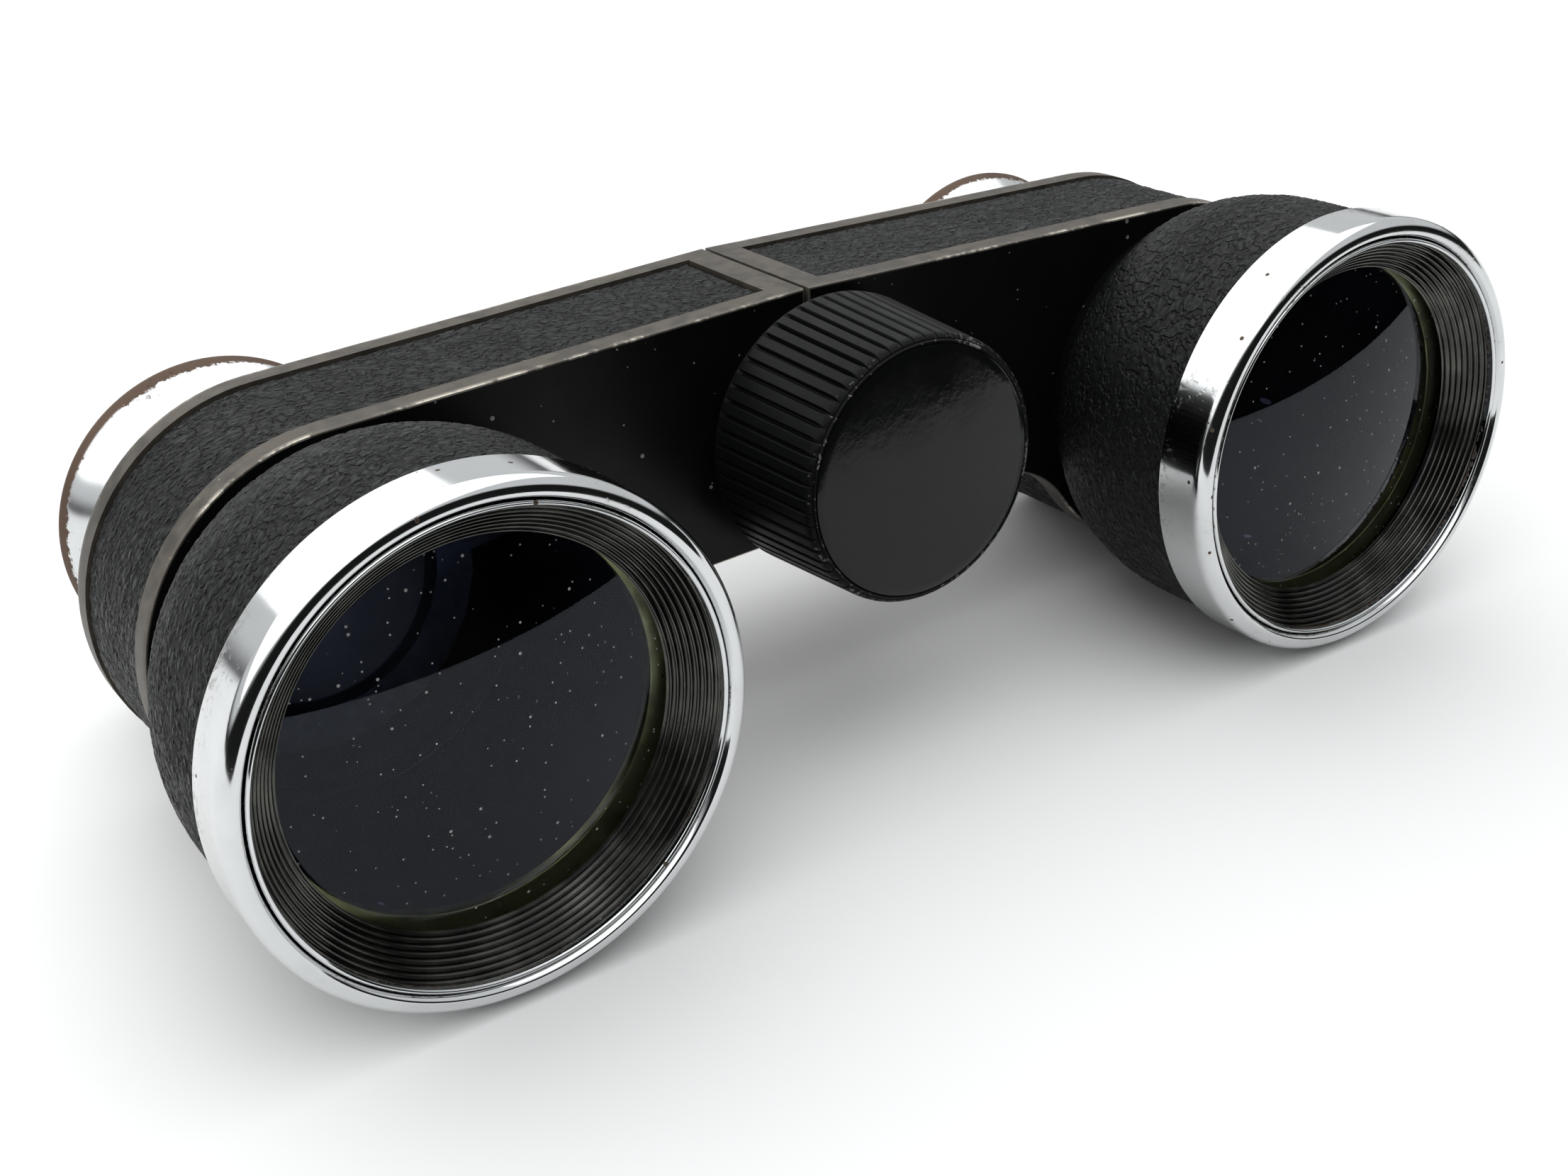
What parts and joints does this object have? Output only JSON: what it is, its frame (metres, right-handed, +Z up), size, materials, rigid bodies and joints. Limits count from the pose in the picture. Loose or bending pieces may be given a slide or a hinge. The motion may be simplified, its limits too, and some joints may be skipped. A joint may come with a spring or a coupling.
{
  "type": "folding opera glasses",
  "caption": "Compact folding opera glasses: short barrels with chrome objective rings on bar-shaped housings, flared eyecups and a fluted centre focusing knob.",
  "frame": {"origin": "centre of the bounding box in X and Y, at its bottom", "axes": "+X along the longest side, from one barrel to the other; +Y from the objective lenses to the eyecups; +Z up"},
  "size_m": [0.095, 0.0412, 0.0302],
  "materials": {
    "black_enamel": "satin black enamel, worn to grey-brown metal along the rims",
    "leatherette": "fine-grained black leatherette",
    "chrome": "polished chrome plate with small pits and a worn brown edge",
    "baffle_black": "semi-gloss black",
    "coated_glass": "blue-violet coated objective glass",
    "clear_glass": "clear eye-lens glass",
    "brass": "turned brass",
    "steel": "turned and pressed steel",
    "knob_black": "moulded black plastic, smooth face and fluted side"
  },
  "bodies": {
    "left_half": {"left_housing": "black_enamel", "left_back_plate": "black_enamel", "left_leather_strip": "leatherette", "left_objective_ring": "chrome", "left_trim_ring": "chrome", "left_ridged_baffle": "baffle_black", "left_objective_lens": "coated_glass", "left_lens_seat_ring": "brass", "left_barrel_tube": "black_enamel", "left_barrel_wrap": "leatherette", "left_guide_bush": "black_enamel", "front_hinge_bush": "brass", "rear_hinge_bush": "brass"},
    "right_half": {"right_housing": "black_enamel", "right_back_plate": "black_enamel", "right_leather_strip": "leatherette", "right_objective_ring": "chrome", "right_trim_ring": "chrome", "right_ridged_baffle": "baffle_black", "right_objective_lens": "coated_glass", "right_lens_seat_ring": "brass", "right_barrel_tube": "black_enamel", "right_barrel_wrap": "leatherette", "right_guide_bush": "black_enamel"},
    "left_eyepiece": {"left_eyepiece_tube": "chrome", "left_eyecup": "chrome", "left_eye_lens": "clear_glass", "left_eye_lens_retainer": "black_enamel", "left_carrier_arm": "steel", "focus_nut": "brass"},
    "right_eyepiece": {"right_eyepiece_tube": "chrome", "right_eyecup": "chrome", "right_eye_lens": "clear_glass", "right_eye_lens_retainer": "black_enamel", "right_carrier_arm": "steel"},
    "focus_wheel": {"focus_knob": "knob_black", "knob_face_cap": "knob_black", "knob_screw": "steel", "focus_spindle": "brass", "spindle_end_screw": "steel", "friction_washer": "steel"}
  },
  "joints": [
    {"name": "fold", "type": "hinge", "parent": "left_half", "child": "right_half", "pos_m": [0, 0, 0.01999], "axis": [0, 1, 0], "range_deg": [-1.8, 40]},
    {"name": "focus_turn", "type": "hinge", "parent": "left_half", "child": "focus_wheel", "pos_m": [0, 0, 0.01999], "axis": [0, 1, 0], "range_deg": [-128, 288]},
    {"name": "left_focus_slide", "type": "slide", "parent": "left_half", "child": "left_eyepiece", "axis": [0, 1, 0], "range_m": [-0.0016, 0.0036]},
    {"name": "right_focus_slide", "type": "slide", "parent": "right_half", "child": "right_eyepiece", "axis": [0, 1, 0], "range_m": [-0.0016, 0.0036]}
  ],
  "couplings": [
    {"joint": "left_focus_slide", "follows": "focus_turn", "m_per_rad": 0.0007162},
    {"joint": "right_focus_slide", "follows": "focus_turn", "m_per_rad": 0.0007162}
  ]
}
